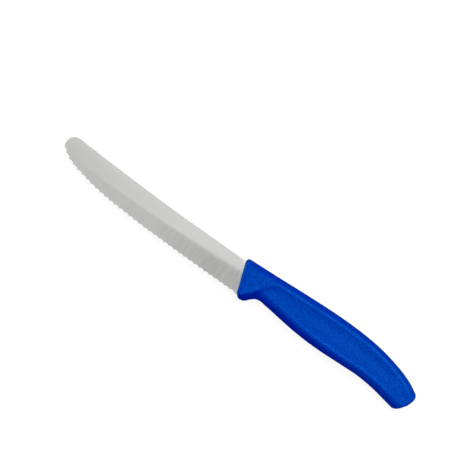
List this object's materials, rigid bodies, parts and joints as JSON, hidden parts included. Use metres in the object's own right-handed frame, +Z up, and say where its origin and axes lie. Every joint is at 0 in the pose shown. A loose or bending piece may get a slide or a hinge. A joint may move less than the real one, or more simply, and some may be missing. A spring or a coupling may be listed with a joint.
{
  "type": "table knife",
  "caption": "Table knife with a round nose, a wavy edge on a thin ground steel blade, and a moulded plastic handle with dished sides.",
  "frame": {"origin": "middle of the lying knife's box, on the surface that it lies on", "axes": "+X from the tip of the blade to the butt of the handle, +Y towards the spine, +Z up, out of the blade's flat side"},
  "size_m": [0.2164, 0.0222, 0.013],
  "materials": {
    "blade_steel": "satin stainless steel, fine grinding lines across the ground half",
    "handle_plastic": "blue polypropylene with a fine spark-eroded mould texture"
  },
  "bodies": {
    "root": {"blade": "blade_steel", "handle": "handle_plastic"}
  },
  "joints": []
}
